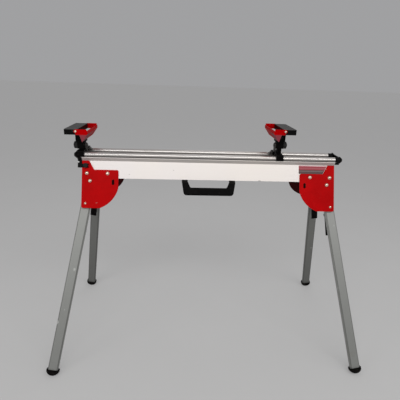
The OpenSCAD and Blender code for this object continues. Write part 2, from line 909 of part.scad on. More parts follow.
saddle_half = rail_y + rail_r + gap + jaw_t;
saddle_low = rail_z - jaw_drop;
saddle_foot_h = 9;

module saddle_section() {
    half = saddle_half;
    low = saddle_low;
    difference() {
        union() {
            translate([-half, low]) square([2 * half, saddle_top - low - 5]);
            translate([-half + 5, low]) square([2 * half - 10, saddle_top - low]);
            for (s = [-1, 1]) translate([s * (half - 5), saddle_top - 5]) circle(5);
        }
        for (y = [-rail_y, rail_y]) translate([y, rail_z]) circle(rail_r + gap);
        translate([-rail_y, low - 1]) square([2 * rail_y, rail_z + 5 - low + 1]);
        for (s = [-1, 1])
            translate([s * (rail_y + rail_r / 2 - 2), low - eps])
                square([rail_r, 2 * (jaw_drop - 3) + 2 * eps], center = true);
    }
}

module saddle(side) {
    ear_off = clamp_lever_w / 2 + gap + 2;
    color("#151515")
        on_support(side)
            difference() {
                union() {
                    translate([saddle_in, 0, 0]) along_beam(saddle_l) saddle_section();
                    translate([saddle_in - saddle_flare / 2, 0, 0]) along_beam(saddle_l + saddle_flare)
                        intersection() {
                            saddle_section();
                            translate([-saddle_half - 1, saddle_low - 1])
                                square([2 * saddle_half + 2, saddle_foot_h + 1]);
                        }
                    translate([-post_w / 2, -post_depth / 2, saddle_top - eps])
                        cube([post_w, post_depth, post_h]);
                    // Ears of the clamp lever
                    for (s = [-1, 1])
                        translate([clamp_x - clamp_drum_r - 1 - eps, clamp_y + s * ear_off - 2, clamp_z - 4])
                            cube([clamp_drum_r + 6, 4, 8]);
                }
                translate([clamp_x, clamp_y, clamp_z]) rotate([90, 0, 0])
                    cylinder(d = clamp_pin_d + 2 * run_gap, h = 60, center = true);
                // Notch for the grip of the inner nut, which hangs past the saddle
                translate([sleeve_w / 2 - 1.3, -nut_notch_w / 2, rail_z])
                    cube([saddle_l, nut_notch_w, saddle_top - rail_z + 1]);
            }
}

module clamp_lever(side) {
    color("gray")
        on_support(side) translate([clamp_x, clamp_y, clamp_z]) {
            rotate([90, 0, 0]) cylinder(r = clamp_drum_r, h = clamp_lever_w, center = true);
            translate([0, -clamp_lever_w / 2, -clamp_drum_r + 0.5])
                cube([clamp_lever_l, clamp_lever_w, clamp_lever_t]);
            translate([clamp_lever_l - 3, -clamp_lever_w / 2, -clamp_drum_r + 0.5])
                rotate([0, -12, 0]) cube([7, clamp_lever_w, clamp_lever_t]);
            rotate([90, 0, 0])
                cylinder(d = clamp_pin_d, h = clamp_lever_w + 2 * gap + 8, center = true);
        }
}

module sleeve(side) {
    color("#151515")
        on_rest(side)
            difference() {
                union() {
                    linear_extrude(sleeve_h) rounded_rect(sleeve_w, sleeve_depth, 4);
                    translate([0, 0, sleeve_neck_h]) linear_extrude(sleeve_h - sleeve_neck_h)
                        rounded_rect(sleeve_head_w, sleeve_depth, 4);
                }
                translate([-post_w / 2 - gap, -post_depth / 2 - gap, -1])
                    cube([post_w + 2 * gap, post_depth + 2 * gap, sleeve_h - 4]);
                translate([0, 0, knob_up]) rotate([0, 90, 0])
                    cylinder(d = 8 + 2 * run_gap, h = sleeve_w + 2, center = true);
            }
}

module height_knob(side) {
    reach = 12;
    color("black")
        on_rest(side)
            translate([-sleeve_w / 2 - gap, 0, knob_up]) rotate([0, -90, 0])
                difference() {
                    union() {
                        cylinder(d = height_knob_d, h = height_knob_h);
                        translate([0, 0, height_knob_h - eps])
                            cylinder(d1 = height_knob_d - 8, d2 = height_knob_d - 14, h = 3);
                        translate([0, 0, -sleeve_wall - gap + 0.4]) cylinder(d = 8, h = reach);
                    }
                    for (a = [0:45:315]) rotate(a + 22.5) translate([height_knob_d / 2 + 3, 0, -1])
                        cylinder(r = 5, h = height_knob_h + 6, $fn = 32);
                }
}

// The height knob's nut, with a grip that hangs down beside the sleeve
module clamp_nut(side) {
    top_r = 11;
    tip_r = 8;
    grip_t = 7;
    color("gray")
        on_rest(side)
            translate([sleeve_w / 2, 0, knob_up]) {
                rotate([90, 0, 90]) linear_extrude(grip_t)
                    hull() {
                        circle(top_r);
                        translate([0, tip_r - nut_grip_l]) circle(tip_r);
                    }
                rotate([0, 90, 0]) {
                    translate([0, 0, grip_t - eps]) cylinder(d = 15, h = 3, $fn = 6);
                    translate([0, 0, -sleeve_wall + 0.4]) cylinder(d = 8, h = sleeve_wall);
                }
            }
}

module rest_plate(side) {
    pocket_l = (rest_l - sleeve_depth) / 2 - 2 * rest_wall;
    color("#1c1c1c")
        on_rest(side)
            translate([-rest_out, -rest_l / 2, sleeve_h])
                difference() {
                    translate([rest_w / 2, rest_l / 2, 0]) linear_extrude(rest_t)
                        rounded_rect(rest_w, rest_l, 4);
                    for (s = [0, 1])
                        translate([rest_wall, rest_wall + s * (rest_l + sleeve_depth) / 2, -1])
                            cube([rest_w - 2 * rest_wall, pocket_l, rest_t - rest_wall + 1]);
                    translate([rest_out + stop_hinge_x, rest_l / 2, rest_t - 8]) rotate([90, 0, 0])
                        cylinder(d = stop_pin_d + 2 * run_gap, h = rest_l + 2, center = true);
                }
}

// The flip-up stop: two arms on the ends of the rest plate and a slanted web between them,
// with a gusset at each end
module stop(side) {
    out = rest_l / 2 + gap;
    low = -stop_arm_h / 2 - 3;
    color("red")
        on_rest(side) translate([stop_hinge_x, 0, stop_hinge_up]) {
            for (s = [-1, 1])
                translate([0, s * (out + stop_t / 2), 0]) rotate([90, 0, 0])
                    linear_extrude(stop_t, center = true)
                        difference() {
                            union() {
                                circle(d = 15);
                                translate([0, low]) square([stop_arm_l - 3, stop_arm_h]);
                                translate([0, -7.5]) square([10, 15]);
                                polygon([
                                    [stop_fold.x + stop_t / 2, stop_fold.y],
                                    [stop_toe.x + stop_t / 2, stop_toe.y],
                                    [stop_toe.x - 8, low + 1]
                                ]);
                            }
                            circle(d = stop_pin_d + 2 * run_gap);
                        }
            rotate([90, 0, 0])
                linear_extrude(2 * (out + stop_t), center = true)
                    stop_web();
        }
}

module stop_web() {
    translate(stop_fold) square([stop_t, stop_lip]);
    translate(stop_fold) rotate(-90 - stop_swing)
        translate([-stop_t / 2, 0]) square([stop_slant_l + stop_t / 2, stop_t]);
}

module stop_screws(side) {
    out = rest_l / 2 + gap + stop_t;
    color("white")
        on_rest(side) translate([stop_hinge_x, 0, stop_hinge_up])
            for (s = [-1, 1]) rotate([0, 0, s == 1 ? 180 : 0])
                translate([0, -out, 0]) rotate([90, 0, 0]) {
                    translate([0, 0, gap]) dome(stop_screw_head_d, 3.5);
                    translate([0, 0, -stop_t - 8]) cylinder(d = stop_pin_d, h = stop_t + 8 + gap + 0.5);
                }
}

beam();
leg_plate(left, front);  // front_left_plate
leg_plate(right, front);  // front_right_plate
leg_plate(left, rear);  // rear_left_plate
leg_plate(right, rear);  // rear_right_plate
plate_bolts();
pivot_bolts();
leg_brackets();
carry_handle();
handle_screws();
lock_knob(left);  // left_lock_knob
lock_knob(right);  // right_lock_knob
arm_tubes(left);  // left_arm_tubes
end_bracket(left);  // left_end_bracket
lock_strap(left);  // left_lock_strap
strap_screw(left);  // left_strap_screw
arm_tubes(right);  // right_arm_tubes
end_bracket(right);  // right_end_bracket
lock_strap(right);  // right_lock_strap
strap_screw(right);  // right_strap_screw
saddle(left);  // left_saddle
sleeve(left);  // left_sleeve
rest_plate(left);  // left_rest_plate
stop(left);  // left_stop
stop_screws(left);  // left_stop_screws
height_knob(left);  // left_height_knob
clamp_nut(left);  // left_clamp_nut
clamp_lever(left);  // left_clamp_lever
saddle(right);  // right_saddle
sleeve(right);  // right_sleeve
rest_plate(right);  // right_rest_plate
stop(right);  // right_stop
stop_screws(right);  // right_stop_screws
height_knob(right);  // right_height_knob
clamp_nut(right);  // right_clamp_nut
clamp_lever(right);  // right_clamp_lever
leg_tube(left, front);  // front_left_leg
foot(left, front);  // front_left_foot
lock_lever(left, front);  // front_left_lever
lever_bracket(left, front);  // front_left_lever_bracket
lock_pin(left, front);  // front_left_lock_pin
lever_spring(left, front);  // front_left_lever_spring
leg_tube(right, front);  // front_right_leg
foot(right, front);  // front_right_foot
lock_lever(right, front);  // front_right_lever
lever_bracket(right, front);  // front_right_lever_bracket
lock_pin(right, front);  // front_right_lock_pin
lever_spring(right, front);  // front_right_lever_spring
leg_tube(left, rear);  // rear_left_leg
foot(left, rear);  // rear_left_foot
lock_lever(left, rear);  // rear_left_lever
lever_bracket(left, rear);  // rear_left_lever_bracket
lock_pin(left, rear);  // rear_left_lock_pin
lever_spring(left, rear);  // rear_left_lever_spring
leg_tube(right, rear);  // rear_right_leg
foot(right, rear);  // rear_right_foot
lock_lever(right, rear);  // rear_right_lever
lever_bracket(right, rear);  // rear_right_lever_bracket
lock_pin(right, rear);  // rear_right_lock_pin
lever_spring(right, rear);  // rear_right_lever_spring
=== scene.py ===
import json
import math

import bpy
from bpy.props import FloatProperty, FloatVectorProperty, PointerProperty
from mathutils import Matrix, Vector


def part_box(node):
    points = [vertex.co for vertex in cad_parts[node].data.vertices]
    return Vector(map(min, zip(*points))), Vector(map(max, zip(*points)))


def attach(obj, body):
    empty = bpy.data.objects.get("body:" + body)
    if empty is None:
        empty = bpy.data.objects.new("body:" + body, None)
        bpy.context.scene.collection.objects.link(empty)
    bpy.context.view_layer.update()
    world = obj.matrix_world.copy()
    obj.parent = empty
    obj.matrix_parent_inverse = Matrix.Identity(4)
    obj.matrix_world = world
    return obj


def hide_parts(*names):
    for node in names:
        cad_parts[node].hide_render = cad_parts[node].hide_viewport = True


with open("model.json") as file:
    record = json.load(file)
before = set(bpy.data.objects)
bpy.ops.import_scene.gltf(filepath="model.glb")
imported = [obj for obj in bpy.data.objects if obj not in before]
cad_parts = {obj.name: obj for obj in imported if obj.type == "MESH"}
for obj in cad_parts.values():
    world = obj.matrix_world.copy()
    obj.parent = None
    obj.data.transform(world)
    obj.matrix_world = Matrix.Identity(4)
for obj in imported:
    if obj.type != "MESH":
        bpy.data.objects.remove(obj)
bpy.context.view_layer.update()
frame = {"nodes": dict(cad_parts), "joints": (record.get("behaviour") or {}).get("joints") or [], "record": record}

bl_info = {
    "name": "Miter saw stand",
    "version": (1, 0, 0),
    "blender": (4, 5, 0),
    "location": "3D View > Sidebar > Saw stand",
    "description": "Dresses the folding miter saw stand with its finishes and fine pieces",
    "category": "Object",
}

SIDES = ("left", "right")
FACES = ("front", "rear")
JOINTS = {joint["name"]: joint for joint in frame["joints"]}
FLOOR_WIDTH = 60

# The lamps: name, place, the point that each looks at, and size
LAMPS = (
    ("key", (0.45, -2.5, 3.1), (0.1, 0, 0.75), (4.4, 1.2)),
    ("top", (0.4, 0.9, 3.0), (0, 0, 0.8), (1.2, 1.2)),
    ("right", (3.0, -1.4, 1.9), (0, 0, 0.6), (1.2, 1.2)),
    ("left", (-2.5, -2.2, 1.5), (-0.2, 0, 0.6), (1.2, 1.2)),
)


class StandSizes(bpy.types.PropertyGroup):
    side_lean: FloatProperty(
        name="Side lean", description="Lean of the beam's sides and the leg plates",
        default=math.radians(20.8), subtype="ANGLE")
    leg_depth: FloatProperty(
        name="Leg depth", description="Depth of the legs' middle plane behind the plates' outer faces",
        default=0.0215, unit="LENGTH")
    # From this depth on, a leg plate's inner face gets painted shade
    inner_shade_depth: FloatProperty(
        name="Inner shade depth", description="Depth behind a plate's outer face where its dark inner face begins",
        default=0.0022, unit="LENGTH")
    plate_edge: FloatProperty(
        name="Plate edge", description="Rounding of the edges of sheet metal",
        default=0.0005, unit="LENGTH")
    moulded_edge: FloatProperty(
        name="Moulded edge", description="Rounding of the edges of moulded pieces",
        default=0.0012, unit="LENGTH")
    band_start: FloatProperty(
        name="Band start", description="Distance of the side band's inner end from the leg pivot",
        default=0.1266, unit="LENGTH")
    band_low: FloatProperty(
        name="Band low edge", description="Height of the side band's low edge above the pivot",
        default=0.0486, unit="LENGTH")
    band_high: FloatProperty(
        name="Band high edge", description="Height of the side band's top edge above the pivot",
        default=0.0862, unit="LENGTH")
    band_end: FloatProperty(
        name="Band end", description="Distance of the side band's outer top corner from the leg pivot",
        default=-0.002, unit="LENGTH")
    band_cut: FloatProperty(
        name="Band cut", description="Distance of the side band's outer low corner from the leg pivot",
        default=0.0184, unit="LENGTH")
    band_sink: FloatProperty(
        name="Band sink", description="Depth of the side band's underside behind the plate's outer face",
        default=0.00295, unit="LENGTH")
    band_thickness: FloatProperty(
        name="Band thickness", description="Thickness of the side band",
        default=0.00045, unit="LENGTH")
    rail_radius: FloatProperty(
        name="Rail radius", description="Radius of the two rails on the beam",
        default=0.012, unit="LENGTH")
    rail_rise: FloatProperty(
        name="Rail rise", description="Height of the rails' middle above the deck",
        default=0.007, unit="LENGTH")
    lip_drop: FloatProperty(
        name="Lip drop", description="Height of the lip between the deck and the top of the beam's side",
        default=0.0184, unit="LENGTH")
    deck_half: FloatProperty(
        name="Deck half", description="Half the width of the deck between the rails",
        default=0.0552, unit="LENGTH")
    leg_groove: FloatProperty(
        name="Leg groove", description="Distance of the dark line on a leg's wide face from its middle",
        default=0.0178, unit="LENGTH")
    leg_side_line: FloatProperty(
        name="Leg side line", description="Distance of the dark line on a leg's narrow face from its middle",
        default=0.0075, unit="LENGTH")


class StandColours(bpy.types.PropertyGroup):
    red: FloatVectorProperty(
        name="Red", description="Powder coat of the plates and stops", subtype="COLOR",
        default=(0.455, 0.0004, 0.0016), min=0, max=1)
    aluminium: FloatVectorProperty(
        name="Aluminium", description="Anodised beam", subtype="COLOR",
        default=(0.92, 0.855, 0.79), min=0, max=1)
    leg_grey: FloatVectorProperty(
        name="Leg grey", description="Anodised leg tubes", subtype="COLOR",
        default=(0.37, 0.375, 0.355), min=0, max=1)
    black: FloatVectorProperty(
        name="Black", description="Moulded plastic", subtype="COLOR",
        default=(0.0022, 0.0019, 0.0019), min=0, max=1)
    nickel: FloatVectorProperty(
        name="Nickel", description="Plated bolt heads", subtype="COLOR",
        default=(0.80, 0.63, 0.52), min=0, max=1)
    floor: FloatVectorProperty(
        name="Floor", description="Studio floor under the lamps", subtype="COLOR",
        default=(0.45, 0.445, 0.435), min=0, max=1)
    air: FloatVectorProperty(
        name="Air", description="Pale background behind the stand", subtype="COLOR",
        default=(0.352, 0.353, 0.360), min=0, max=1)
    glow: FloatVectorProperty(
        name="Glow", description="Even pale colour that is mixed into the look of the floor", subtype="COLOR",
        default=(0.76, 0.76, 0.765), min=0, max=1)


class StandView(bpy.types.PropertyGroup):
    place: FloatVectorProperty(
        name="Camera place", description="Where the camera stands", subtype="TRANSLATION",
        default=(-0.12333, -1.61369, 1.26819))
    lens: FloatProperty(
        name="Lens", description="Focal length for a 36 mm frame", default=32.67, unit="CAMERA")
    yaw: FloatProperty(
        name="Yaw", description="Turn of the camera towards +X", default=math.radians(3.04), subtype="ANGLE")
    pitch: FloatProperty(
        name="Pitch", description="Tilt of the camera below the horizon", default=math.radians(19.66),
        subtype="ANGLE")
    roll: FloatProperty(
        name="Roll", description="Turn of the camera about its own axis", default=math.radians(1.95),
        subtype="ANGLE")
    floor_glow: FloatProperty(
        name="Floor glow", description="Share of the even pale colour in the look of the floor",
        default=0.28, min=0, max=1)
    key_power: FloatProperty(
        name="Key light", description="Power of the big lamp above the camera", default=64, unit="POWER")
    right_power: FloatProperty(
        name="Right light", description="Power of the lamp on the right", default=8, unit="POWER")
    left_power: FloatProperty(
        name="Left light", description="Power of the lamp on the left", default=17, unit="POWER")
    top_power: FloatProperty(
        name="Top light", description="Power of the lamp above the rear", default=5, unit="POWER")
    sky: FloatProperty(
        name="Sky", description="Strength of the even light all round", default=0.36, min=0)


class Wire:
    """A shader output that arithmetic turns into Math nodes."""

    def __init__(self, finish, output):
        self.finish = finish
        self.output = output

    def _math(self, operation, a, b):
        return self.finish.node("ShaderNodeMath", {"operation": operation}, {0: a, 1: b})

    def __add__(self, other):
        return self._math("ADD", self, other)

    def __sub__(self, other):
        return self._math("SUBTRACT", self, other)

    def __rsub__(self, other):
        return self._math("SUBTRACT", other, self)

    def __mul__(self, other):
        return self._math("MULTIPLY", self, other)

    def __abs__(self):
        return self._math("ABSOLUTE", self, 0)

    def over(self, low, high):
        """0 below low, 1 above high, smooth between."""
        return self.finish.node(
            "ShaderNodeMapRange", {"interpolation_type": "SMOOTHSTEP", "clamp": True},
            {"Value": self, "From Min": low, "From Max": high, "To Min": 0.0, "To Max": 1.0})

    __radd__ = __add__
    __rmul__ = __mul__


class Finish:
    """One procedural material. Its patterns are laid out in metres on Object coordinates."""

    def __init__(self, name, colour=(0.5, 0.5, 0.5), **sockets):
        self.material = bpy.data.materials.new(name)
        self.material.use_nodes = True
        self.tree = self.material.node_tree
        self.shader = self.tree.nodes["Principled BSDF"]
        self.shader.inputs["Base Color"].default_value = (*colour, 1)
        self.material.diffuse_color = (*colour, 1)
        for key, value in sockets.items():
            self.shader.inputs[key.replace("_", " ")].default_value = value
        self.place = self.node("ShaderNodeTexCoord", out="Object")

    def node(self, kind, settings=None, values=None, out=0):
        node = self.tree.nodes.new(kind)
        for key, value in (settings or {}).items():
            setattr(node, key, value)
        for key, value in (values or {}).items():
            socket = node.inputs[key]
            if isinstance(value, Wire):
                self.tree.links.new(value.output, socket)
            elif socket.type == "RGBA" and len(value) == 3:
                socket.default_value = (*value, 1)
            else:
                socket.default_value = value
        return Wire(self, node.outputs[out])

    def feed(self, socket, wire):
        self.tree.links.new(wire.output, self.shader.inputs[socket])

    def noise(self, scale, detail=3.0, stretch=None, shift=(0, 0, 0)):
        place = self.place
        if stretch or any(shift):
            place = self.node("ShaderNodeMapping", None,
                              {"Vector": place, "Scale": stretch or (1, 1, 1), "Location": shift})
        return self.node("ShaderNodeTexNoise", None,
                         {"Vector": place, "Scale": scale, "Detail": detail, "Roughness": 0.55})

    def along(self, direction, origin=(0, 0, 0)):
        """Distance along a direction from an origin, in metres."""
        moved = self.node("ShaderNodeVectorMath", {"operation": "SUBTRACT"},
                          {0: self.place, 1: tuple(origin)})
        return self.node("ShaderNodeVectorMath", {"operation": "DOT_PRODUCT"},
                         {0: moved, 1: tuple(direction)}, "Value")

    def mix(self, factor, a, b):
        return self.node("ShaderNodeMix", {"data_type": "RGBA"}, {0: factor, 6: a, 7: b}, 2)

    def bump(self, height, depth, strength, under=None):
        values = {"Height": height, "Distance": depth, "Strength": strength}
        if under:
            values["Normal"] = under
        return self.node("ShaderNodeBump", None, values)

    def nicks(self, scale, stretch, shift, low):
        """Few short marks: only the peaks of a stretched noise."""
        return self.noise(scale, 1.5, stretch, shift).over(low, low + 0.025)


def shade(colour, amount):
    return tuple(min(1, c * amount) for c in colour)


def red_coat(name, side=None):
    """Powder coat of the leg plates or, with a side, of that side's stop.

    A stop's web is pinkish at its low near end, a painted reflection. A leg plate's inner face is dark, a painted
    shade.
    """
    sizes = bpy.context.scene.stand_sizes
    red = bpy.context.scene.stand_colours.red
    shine = 0.02 if side else 0.15
    f = Finish(name, red, Roughness=0.42, Specular_IOR_Level=shine, Specular_Tint=(1.0, 0.30, 0.28, 1))
    broad = f.noise(9, 3)
    colour = f.mix(broad.over(0.3, 0.7), shade(red, 0.88), shade(red, 1.10))
    marks = f.nicks(48, (0.6, 1, 1), (1, 2, 0), 0.75)
    colour = f.mix(marks * 0.45, colour, (0.42, 0.20, 0.17))
    dust = f.noise(60, 5).over(0.60, 0.82)
    colour = f.mix(dust * 0.06, colour, (0.32, 0.12, 0.10))
    if side:
        # Painted reflection: the low near end of the stop's web is tinted pinkish grey
        hinge = JOINTS[f"{side}_stop_flip"]["pos_m"][2]
        low = 1 - f.along((0, 0, 1)).over(hinge - 0.0165, hinge - 0.0115)
        low = low * (1 - f.along((0, 1, 0)).over(-0.040, 0.005))
        colour = f.mix(low * 0.85, colour, (0.22, 0.060, 0.076))
    else:
        # Painted shade: a leg plate's inner face, behind inner_shade_depth, is darkened nearly to black
        out = slope_frame("left", "front")
        across = out.to_3x3() @ Vector((0, 0, 1))
        face = -across.y * abs(f.along((0, 1, 0))) + across.z * f.along((0, 0, 1))
        plane = out.translation.dot(across)
        inner_face_shade = 1 - face.over(plane - sizes.inner_shade_depth - 0.0004, plane - sizes.inner_shade_depth)
        colour = f.mix(inner_face_shade * 0.95, colour, (0.014, 0.0004, 0.0006))
    f.feed("Base Color", colour)
    f.feed("Roughness", 0.36 + 0.12 * broad + 0.2 * marks + 0.10 * dust)
    peel = f.bump(f.noise(850, 2), 0.0002, 0.30)
    f.feed("Normal", f.bump(marks, -0.0002, 0.5, peel))
    return f.material


def beam_skin():
    base = bpy.context.scene.stand_colours.aluminium
    f = Finish("anodised beam", base, Roughness=0.4, Metallic=0.4)
    warm = f.noise(1.7, 3, (1, 0.4, 0.4))
    colour = f.mix(warm.over(0.35, 0.65), (base[0] * 0.96, base[1] * 0.975, base[2] * 1.03), base)
    drawn = f.noise(1, 5, (1.5, 520, 520))
    colour = f.mix(drawn * 0.14, colour, shade(base, 0.70))
    marks = f.nicks(36, (0.5, 1, 1), (2, 0, 0), 0.745)
    rubs = f.noise(7, 5, (0.6, 1, 1.4), (4, 4, 0)).over(0.60, 0.78)
    colour = f.mix(marks * 0.75 + rubs * 0.10, colour, (0.26, 0.23, 0.20))
    sizes = bpy.context.scene.stand_sizes
    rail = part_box("beam")[1][2] - sizes.rail_radius
    deck = rail - sizes.rail_rise
    height = f.along((0, 0, 1))
    depth = abs(f.along((0, 1, 0)))
    # Painted shade: the rails and deck get a darker base colour, standing in for the dark room they mirror; the
    # same mask also makes them more metallic and smoother
    top = height.over(deck - 0.0010, deck + 0.0002)
    colour = f.mix(top * 0.62, colour, (0.36, 0.345, 0.33))
    lip = deck - sizes.lip_drop
    # Painted shade on the lip below the deck, which faces down and outward
    shoulder_shade = height.over(lip, lip + 0.0010) * (1 - height.over(deck - 0.0040, deck - 0.0025))
    colour = f.mix(shoulder_shade * 0.60, colour, (0.30, 0.275, 0.262))
    # Painted shade along the foot of each rail, where it meets the deck
    crease_shade = (height.over(deck - 0.0015, deck - 0.0005) * (1 - height.over(rail - 0.0035, rail + 0.0005))
              * (1 - depth.over(sizes.deck_half, sizes.deck_half + 0.0010)))
    colour = f.mix(crease_shade * 0.8, colour, (0.075, 0.068, 0.062))
    f.feed("Base Color", colour)
    f.feed("Roughness", 0.38 + 0.12 * drawn + 0.06 * warm + 0.2 * marks - 0.17 * top)
    f.feed("Metallic", 0.12 + 0.60 * top)
    lines = f.bump(drawn, 0.0002, 0.30)
    f.feed("Normal", f.bump(marks, -0.0003, 0.4, lines))
    return f.material


def corner_flips(side, face):
    return (-1 if side == "right" else 1), (-1 if face == "rear" else 1)


def slope_frame(side, face):
    """The frame of a leg plate: x inward along the beam, y up the slope, z out of the outer face."""
    sizes = bpy.context.scene.stand_sizes
    fx, fy = corner_flips(side, face)
    fold = JOINTS[f"{face}_{side}_leg_fold"]
    turn = Matrix.Rotation(math.radians(90) - sizes.side_lean, 4, "X")
    depth = turn.to_3x3() @ Vector((0, 0, sizes.leg_depth))
    pos = Vector((fold["pos_m"][0] * fx, fold["pos_m"][1] * fy, fold["pos_m"][2])) + depth
    return Matrix.Diagonal((fx, fy, 1, 1)) @ Matrix.Translation(pos) @ turn


def leg_axes(side, face):
    """Pivot, direction down the leg and direction across its wide face."""
    fold = JOINTS[f"{face}_{side}_leg_fold"]
    squeeze = JOINTS[f"{face}_{side}_lever_squeeze"]
    hinge = Vector(fold["axis"]).normalized()
    across = Vector(squeeze["axis"]).normalized()
    down = hinge.cross(across).normalized()
    if down.z > 0:
        down = -down
    return Vector(fold["pos_m"]), down, across, hinge


def leg_skin(side, face):
    sizes = bpy.context.scene.stand_sizes
    grey = bpy.context.scene.stand_colours.leg_grey
    f = Finish(f"leg anodising {face} {side}", grey, Roughness=0.45, Metallic=0.3)
    pivot, down, across, hinge = leg_axes(side, face)
    along = f.along(down, pivot)
    over = abs(f.along(across, pivot))
    thick = abs(f.along(hinge, pivot))
    frame_place = f.node("ShaderNodeCombineXYZ", None, {
        0: along * 2.0, 1: f.along(across, pivot) * 700.0, 2: f.along(hinge, pivot) * 700.0})
    drawn = f.node("ShaderNodeTexNoise", None, {"Vector": frame_place, "Scale": 1.0, "Detail": 4.0})
    # Painted shade: the rear legs get a darker copy of the grey
    if face == "rear":
        grey = shade(grey, 0.62)
    # Painted shade: each leg darkens towards its foot
    lower = f.mix(along.over(0.10, 0.84), grey, shade(grey, 0.74))
    colour = f.mix(drawn * 0.25, lower, shade(grey, 0.66))
    # Painted shade: dark lines in the grooves near the edges of the leg's wide and narrow faces
    edge = (1 - abs(over - sizes.leg_groove).over(0.0007, 0.0016)) * thick.over(0.0080, 0.0086)
    side_line = (1 - abs(thick - sizes.leg_side_line).over(0.0005, 0.0012)) * over.over(0.0195, 0.0205)
    colour = f.mix(edge * 0.72 + side_line * 0.6, colour, shade(grey, 0.22))
    scuffs = f.nicks(42, (1, 1, 0.4), (side == "left", face == "rear", 0), 0.71)
    colour = f.mix(scuffs * 0.6, colour, shade(grey, 1.6))
    soil = f.noise(14, 5).over(0.5, 0.75) * along.over(0.35, 0.80)
    colour = f.mix(soil * 0.28, colour, (0.20, 0.18, 0.15))
    f.feed("Base Color", colour)
    f.feed("Roughness", 0.36 + 0.16 * drawn + 0.15 * scuffs + 0.15 * soil)
    lines = f.bump(drawn, 0.0002, 0.4)
    f.feed("Normal", f.bump(edge + side_line, -0.0005, 0.7, lines))
    return f.material


def metal(name, colour, rough, grain, wear, metallic=1.0):
    f = Finish(name, colour, Roughness=rough, Metallic=metallic)
    cloud = f.noise(70, 3)
    fine = f.noise(grain, 4)
    tone = f.mix(cloud, shade(colour, 0.80), shade(colour, 1.08))
    tarnish = fine.over(0.56, 0.72)
    f.feed("Base Color", f.mix(tarnish * wear, tone, shade(colour, 0.35)))
    f.feed("Roughness", rough - 0.06 + 0.16 * cloud + 0.15 * tarnish)
    f.feed("Normal", f.bump(fine, 0.0002, 0.25))
    return f.material


def drawn_steel():
    f = Finish("drawn steel tube", (0.62, 0.62, 0.62), Roughness=0.3, Metallic=1.0)
    rings = f.noise(1, 4, (30, 900, 900))
    f.feed("Base Color", f.mix(rings, (0.45, 0.45, 0.45), (0.70, 0.70, 0.69)))
    f.feed("Roughness", 0.22 + 0.2 * rings)
    f.feed("Normal", f.bump(rings, 0.0001, 0.3))
    return f.material


def moulding(name, colour, rough, grain=1100, dust=0.04, pale=(0.045, 0.041, 0.039), shine=0.05, sheen_height=None):
    """Moulded plastic. Above sheen_height, if it is given, the top is paler: a painted sheen."""
    f = Finish(name, colour, Roughness=rough, Specular_IOR_Level=shine)
    cloud = f.noise(28, 4)
    fine = f.noise(grain, 2)
    worn = f.nicks(70, (1, 1, 1), (3, 1, 0), 0.715)
    soft = f.mix(cloud.over(0.45, 0.75) * dust * 3, colour, shade(pale, 0.6))
    # Painted sheen: the top above sheen_height is paler
    if sheen_height:
        soft = f.mix(f.along((0, 0, 1)).over(sheen_height - 0.0012, sheen_height - 0.0004), soft, (0.050, 0.047, 0.046))
    f.feed("Base Color", f.mix(worn * 0.6, soft, pale))
    f.feed("Roughness", rough - 0.05 + 0.14 * cloud + 0.15 * worn)
    f.feed("Normal", f.bump(fine, 0.0002, 0.45))
    return f.material


def foot_rubber():
    f = Finish("foot rubber", (0.003, 0.0027, 0.0025), Roughness=0.75, Specular_IOR_Level=0.05)
    height = f.along((0, 0, 1))
    cloud = f.noise(55, 5)
    dust = cloud.over(0.42, 0.7) * (1 - height.over(0.012, 0.045))
    f.feed("Base Color", f.mix(dust * 0.10 + cloud * 0.01, (0.003, 0.0027, 0.0025), (0.10, 0.087, 0.074)))
    f.feed("Roughness", 0.62 + 0.2 * cloud)
    f.feed("Normal", f.bump(f.noise(500, 3), 0.0004, 0.4))
    return f.material


def band_skin():
    """The two-tone band on the beam's side: red over dark brown, with a pale rim and two fine lines."""
    colours = bpy.context.scene.stand_colours
    sizes = bpy.context.scene.stand_sizes
    f = Finish("side band", colours.red, Roughness=0.4)
    base = slope_frame("right", "front")
    up = (base.to_3x3() @ Vector((0, 1, 0))).normalized()
    height = f.along(up, base.translation)
    middle = sizes.band_low + 0.47 * (sizes.band_high - sizes.band_low)
    wear = f.noise(120, 4)
    red = f.mix(wear, (0.35, 0.024, 0.040), (0.30, 0.030, 0.044))
    dark = f.mix(wear, (0.060, 0.026, 0.024), (0.085, 0.042, 0.038))
    colour = f.mix(height.over(middle - 0.0001, middle + 0.0001), dark, red)
    fine = (1 - abs(height - (middle - 0.0058)).over(0.0012, 0.0017)) * 0.16
    fine = fine + (1 - abs(height - (middle + 0.0075)).over(0.0008, 0.0012)) * 0.14
    rim = 1 - abs(height - (sizes.band_high - 0.0019)).over(0.0010, 0.0013)
    f.feed("Base Color", f.mix(fine + rim * 0.9, colour, (0.86, 0.62, 0.64)))
    f.feed("Roughness", 0.34 + 0.16 * wear)
    f.feed("Normal", f.bump(wear, 0.0001, 0.3))
    return f.material


def clear_selection():
    if bpy.context.mode != "OBJECT":
        bpy.ops.object.mode_set(mode="OBJECT")
    bpy.ops.object.select_all(action="DESELECT")


def take(piece):
    clear_selection()
    piece.select_set(True)
    bpy.context.view_layer.objects.active = piece


def modify(piece, kind, **settings):
    """Adds a modifier and applies it at once."""
    take(piece)
    modifier = piece.modifiers.new(kind.title(), kind)
    for key, value in settings.items():
        setattr(modifier, key, value)
    bpy.ops.object.modifier_apply(modifier=modifier.name)


def dress(piece, material, body, slot, *nodes):
    piece.data.materials.clear()
    piece.data.materials.append(material)
    if nodes:
        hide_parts(*nodes)
    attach(piece, body)
    return piece


def body_of(node):
    return next(b for b, nodes in frame["record"]["behaviour"]["bodies"].items() if node in nodes)


def slot_of(node):
    return next(s["material_slot"] for s in frame["record"]["subparts"] if s["node"] == node)


